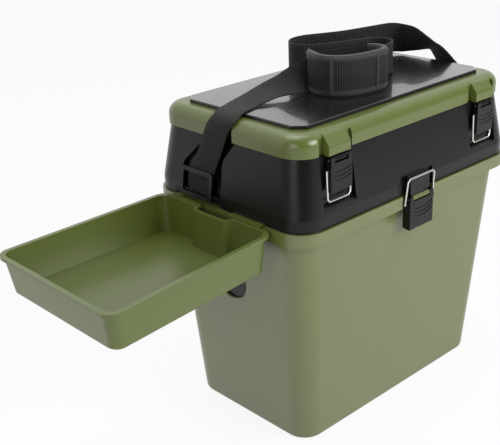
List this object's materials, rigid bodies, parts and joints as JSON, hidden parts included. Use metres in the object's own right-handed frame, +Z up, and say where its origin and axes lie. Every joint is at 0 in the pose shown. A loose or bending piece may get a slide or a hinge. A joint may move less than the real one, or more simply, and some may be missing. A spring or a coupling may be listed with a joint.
{
  "type": "fishing seat box",
  "caption": "Tapered two-storey tackle box with a hinged seat lid, wire-bail latches, a side tray and a shoulder strap.",
  "frame": {"origin": "middle of the flat underside of the lower tub", "axes": "+Z up, +X to the right along the long side, -Y towards the front with the latches, the tray on the -X end"},
  "size_m": [0.6001, 0.2577, 0.4263],
  "materials": {
    "green_plastic": "satin moulded",
    "black_plastic": "satin moulded",
    "gloss_plate": "gloss",
    "steel": "bright",
    "bright_wire": "nickel plated",
    "webbing": "woven webbing",
    "sleeve_fabric": "woven sleeve"
  },
  "bodies": {
    "tub": {"lower_body": "green_plastic", "hatch_pin": "steel", "centre_lever_pin": "steel", "tier_hinge_pin_left": "steel", "tier_hinge_pin_right": "steel"},
    "tier": {"upper_tier": "black_plastic", "lid_hinge_pin_left": "steel", "lid_hinge_pin_right": "steel", "left_lever_pin": "steel", "right_lever_pin": "steel", "left_strap_bar": "steel", "right_strap_bar": "steel", "left_slider": "black_plastic", "right_slider": "black_plastic", "left_webbing": "webbing", "right_webbing": "webbing"},
    "lid": {"lid": "green_plastic", "seat_pad": "gloss_plate", "over_left_webbing": "webbing", "webbing_loop": "webbing", "over_right_webbing": "webbing", "shoulder_pad": "sleeve_fabric"},
    "left_lever": {"left_lever": "black_plastic"},
    "right_lever": {"right_lever": "black_plastic"},
    "left_bail": {"left_bail": "bright_wire"},
    "right_bail": {"right_bail": "bright_wire"},
    "centre_lever": {"centre_lever": "black_plastic"},
    "centre_bail": {"centre_bail": "bright_wire"},
    "tray": {"side_tray": "green_plastic"},
    "flap": {"hatch_flap": "black_plastic"}
  },
  "joints": [
    {"name": "tier_hinge", "type": "hinge", "parent": "tub", "child": "tier", "pos_m": [0, 0.1265, 0.2755], "axis": [-1, 0, 0], "range_deg": [0, 95]},
    {"name": "lid_hinge", "type": "hinge", "parent": "tier", "child": "lid", "pos_m": [0, 0.116, 0.3524], "axis": [-1, 0, 0], "range_deg": [0, 100]},
    {"name": "left_lever_pivot", "type": "hinge", "parent": "tier", "child": "left_lever", "pos_m": [-0.1274, -0.1165, 0.347], "axis": [1, 0, 0], "range_deg": [-110, 0]},
    {"name": "right_lever_pivot", "type": "hinge", "parent": "tier", "child": "right_lever", "pos_m": [0.1274, -0.1165, 0.347], "axis": [1, 0, 0], "range_deg": [-110, 0]},
    {"name": "left_bail_pivot", "type": "hinge", "parent": "left_lever", "child": "left_bail", "pos_m": [-0.1274, -0.116, 0.336], "axis": [-1, 0, 0], "range_deg": [0, 150]},
    {"name": "right_bail_pivot", "type": "hinge", "parent": "right_lever", "child": "right_bail", "pos_m": [0.1274, -0.116, 0.336], "axis": [-1, 0, 0], "range_deg": [0, 150]},
    {"name": "centre_lever_pivot", "type": "hinge", "parent": "tub", "child": "centre_lever", "pos_m": [0, -0.1235, 0.27], "axis": [1, 0, 0], "range_deg": [-110, 0]},
    {"name": "centre_bail_pivot", "type": "hinge", "parent": "centre_lever", "child": "centre_bail", "pos_m": [0, -0.1225, 0.2645], "axis": [1, 0, 0], "range_deg": [0, 145]},
    {"name": "tray_draw", "type": "slide", "parent": "tub", "child": "tray", "axis": [-1, 0, 0], "range_m": [0, 0.05]},
    {"name": "flap_swing", "type": "hinge", "parent": "tub", "child": "flap", "pos_m": [-0.16944, 0.008, 0.21533], "axis": [0, -1, 0], "range_deg": [0, 75]}
  ],
  "couplings": [
    {"joint": "centre_bail_pivot", "follows": "centre_lever_pivot", "ratio": -1.3}
  ]
}
